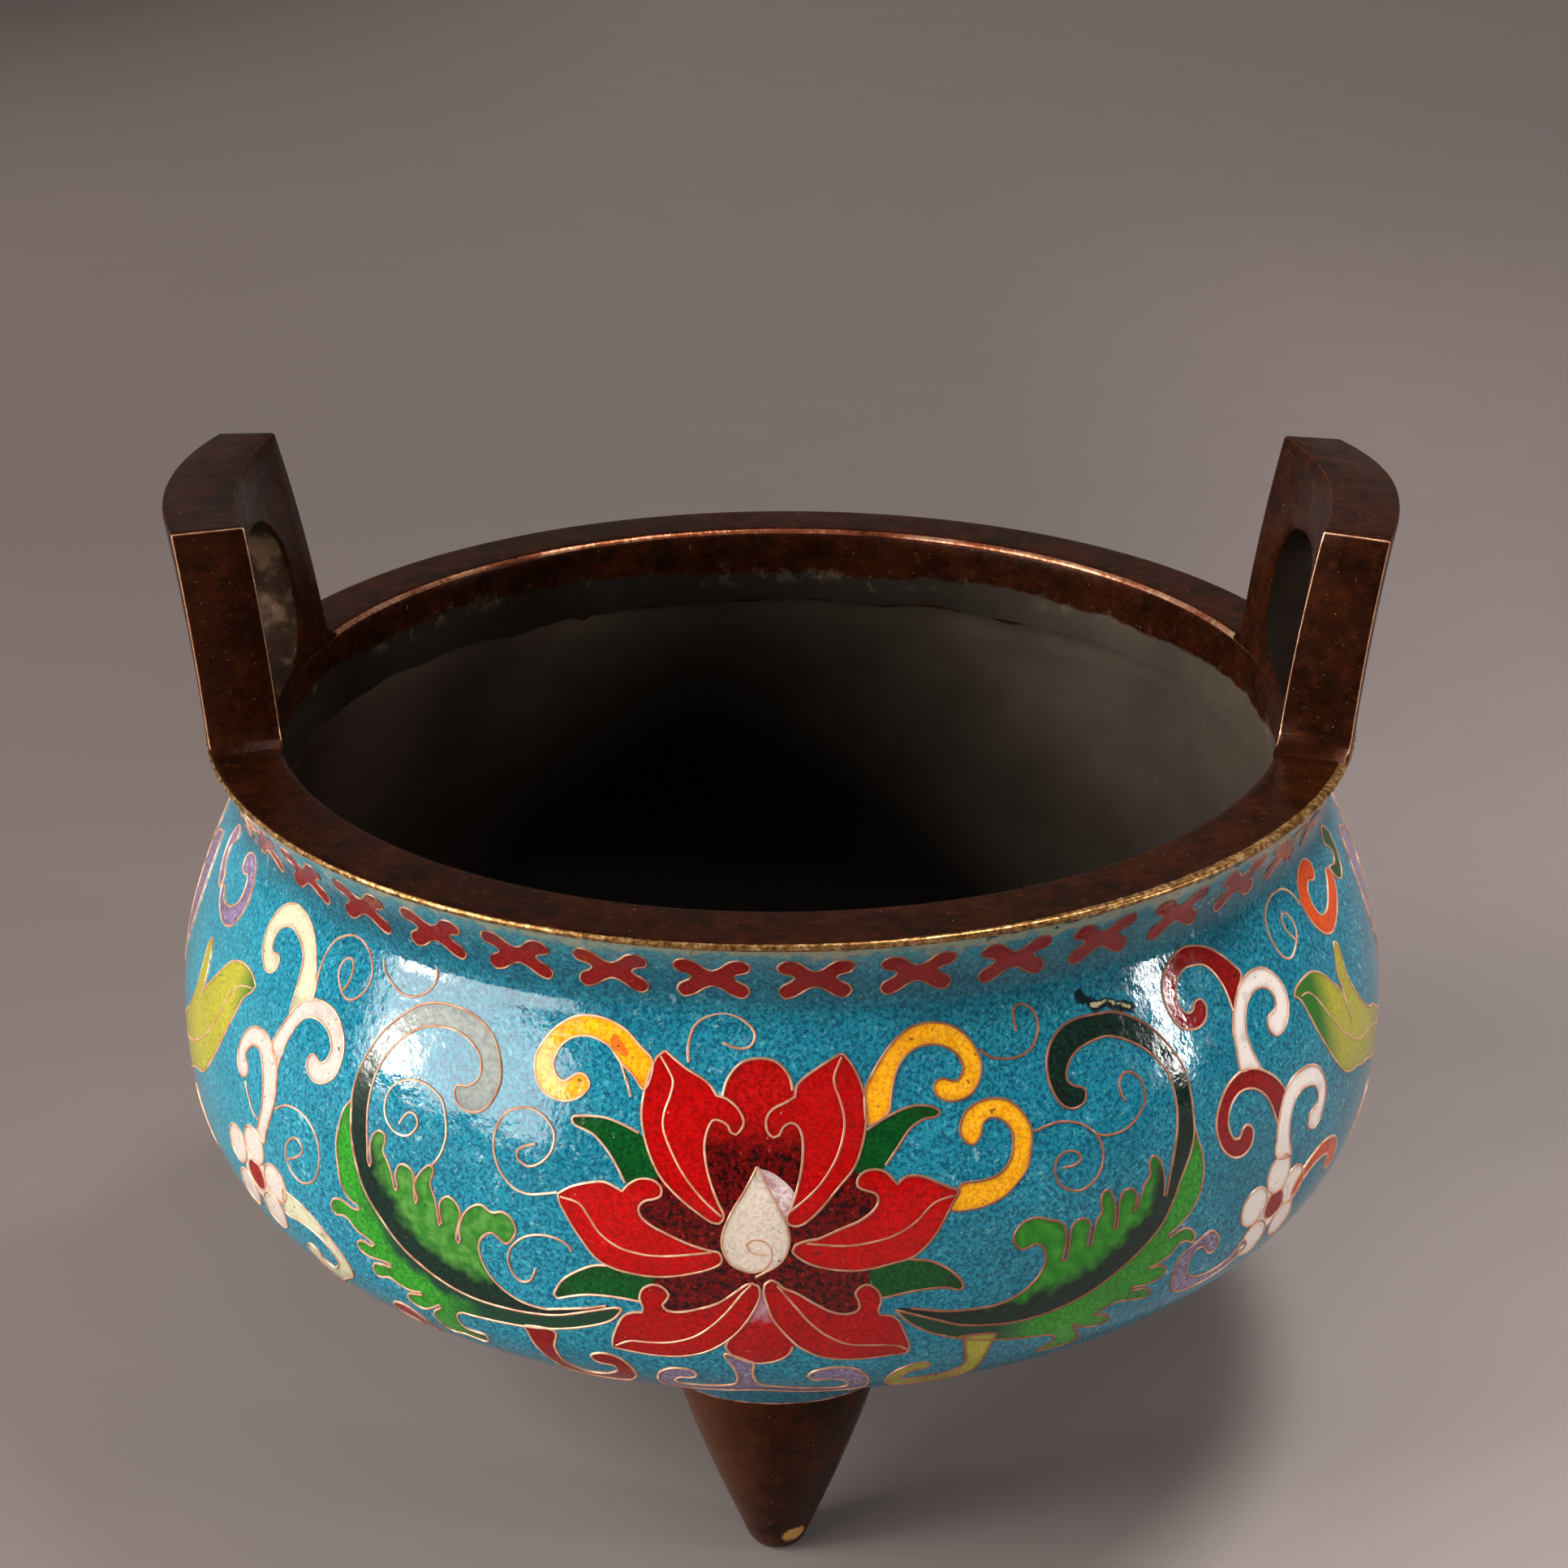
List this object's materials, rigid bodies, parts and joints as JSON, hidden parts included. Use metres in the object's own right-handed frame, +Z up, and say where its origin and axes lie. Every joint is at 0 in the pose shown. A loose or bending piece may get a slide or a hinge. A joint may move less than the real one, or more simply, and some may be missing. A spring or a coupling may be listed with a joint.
{
  "type": "cloisonne tripod incense burner",
  "caption": "Cloisonne censer: turquoise enamelled copper bowl with lotus inlays, bronze rim ring, upright loop handles and cone feet.",
  "frame": {"origin": "on the table, under the middle of the bowl", "axes": "+Z up; the front flower and the front foot point to -Y, the handles stand at +X and -X"},
  "size_m": [0.1292, 0.1292, 0.1019],
  "materials": {
    "bronze": "dark brown patina, polished bright on the edges",
    "copper": "bare copper, dull",
    "lining": "matt, nearly black",
    "turquoise_enamel": "glossy, finely speckled",
    "red_enamel": "glossy",
    "yellow_enamel": "glossy",
    "green_enamel": "glossy",
    "white_enamel": "glossy"
  },
  "bodies": {
    "root": {"bowl_copper": "copper", "enamel_ground": "turquoise_enamel", "bowl_lining": "lining", "rim_ring": "bronze", "handle_right": "bronze", "handle_left": "bronze", "foot_front": "bronze", "foot_rear_right": "bronze", "foot_rear_left": "bronze", "flower_front_top_petal": "red_enamel", "flower_front_pearl": "white_enamel", "flower_front_bottom_petal": "red_enamel", "flower_front_upper_petal_right": "red_enamel", "flower_front_side_petal_right": "red_enamel", "flower_front_lower_petal_right": "red_enamel", "leaf_scroll_front_right": "green_enamel", "blossom_front_right": "white_enamel", "flower_front_upper_petal_left": "red_enamel", "flower_front_side_petal_left": "red_enamel", "flower_front_lower_petal_left": "red_enamel", "leaf_scroll_front_left": "green_enamel", "blossom_front_left": "white_enamel", "flower_right_top_petal": "yellow_enamel", "flower_right_pearl": "white_enamel", "flower_right_bottom_petal": "yellow_enamel", "flower_right_upper_petal_right": "yellow_enamel", "flower_right_side_petal_right": "yellow_enamel", "flower_right_lower_petal_right": "yellow_enamel", "flower_right_upper_petal_left": "yellow_enamel", "flower_right_side_petal_left": "yellow_enamel", "flower_right_lower_petal_left": "yellow_enamel", "flower_back_top_petal": "red_enamel", "flower_back_pearl": "white_enamel", "flower_back_bottom_petal": "red_enamel", "flower_back_upper_petal_right": "red_enamel", "flower_back_side_petal_right": "red_enamel", "flower_back_lower_petal_right": "red_enamel", "leaf_scroll_back_right": "green_enamel", "blossom_back_right": "white_enamel", "flower_back_upper_petal_left": "red_enamel", "flower_back_side_petal_left": "red_enamel", "flower_back_lower_petal_left": "red_enamel", "leaf_scroll_back_left": "green_enamel", "blossom_back_left": "white_enamel", "flower_left_top_petal": "yellow_enamel", "flower_left_pearl": "white_enamel", "flower_left_bottom_petal": "yellow_enamel", "flower_left_upper_petal_right": "yellow_enamel", "flower_left_side_petal_right": "yellow_enamel", "flower_left_lower_petal_right": "yellow_enamel", "flower_left_upper_petal_left": "yellow_enamel", "flower_left_side_petal_left": "yellow_enamel", "flower_left_lower_petal_left": "yellow_enamel"}
  },
  "joints": []
}
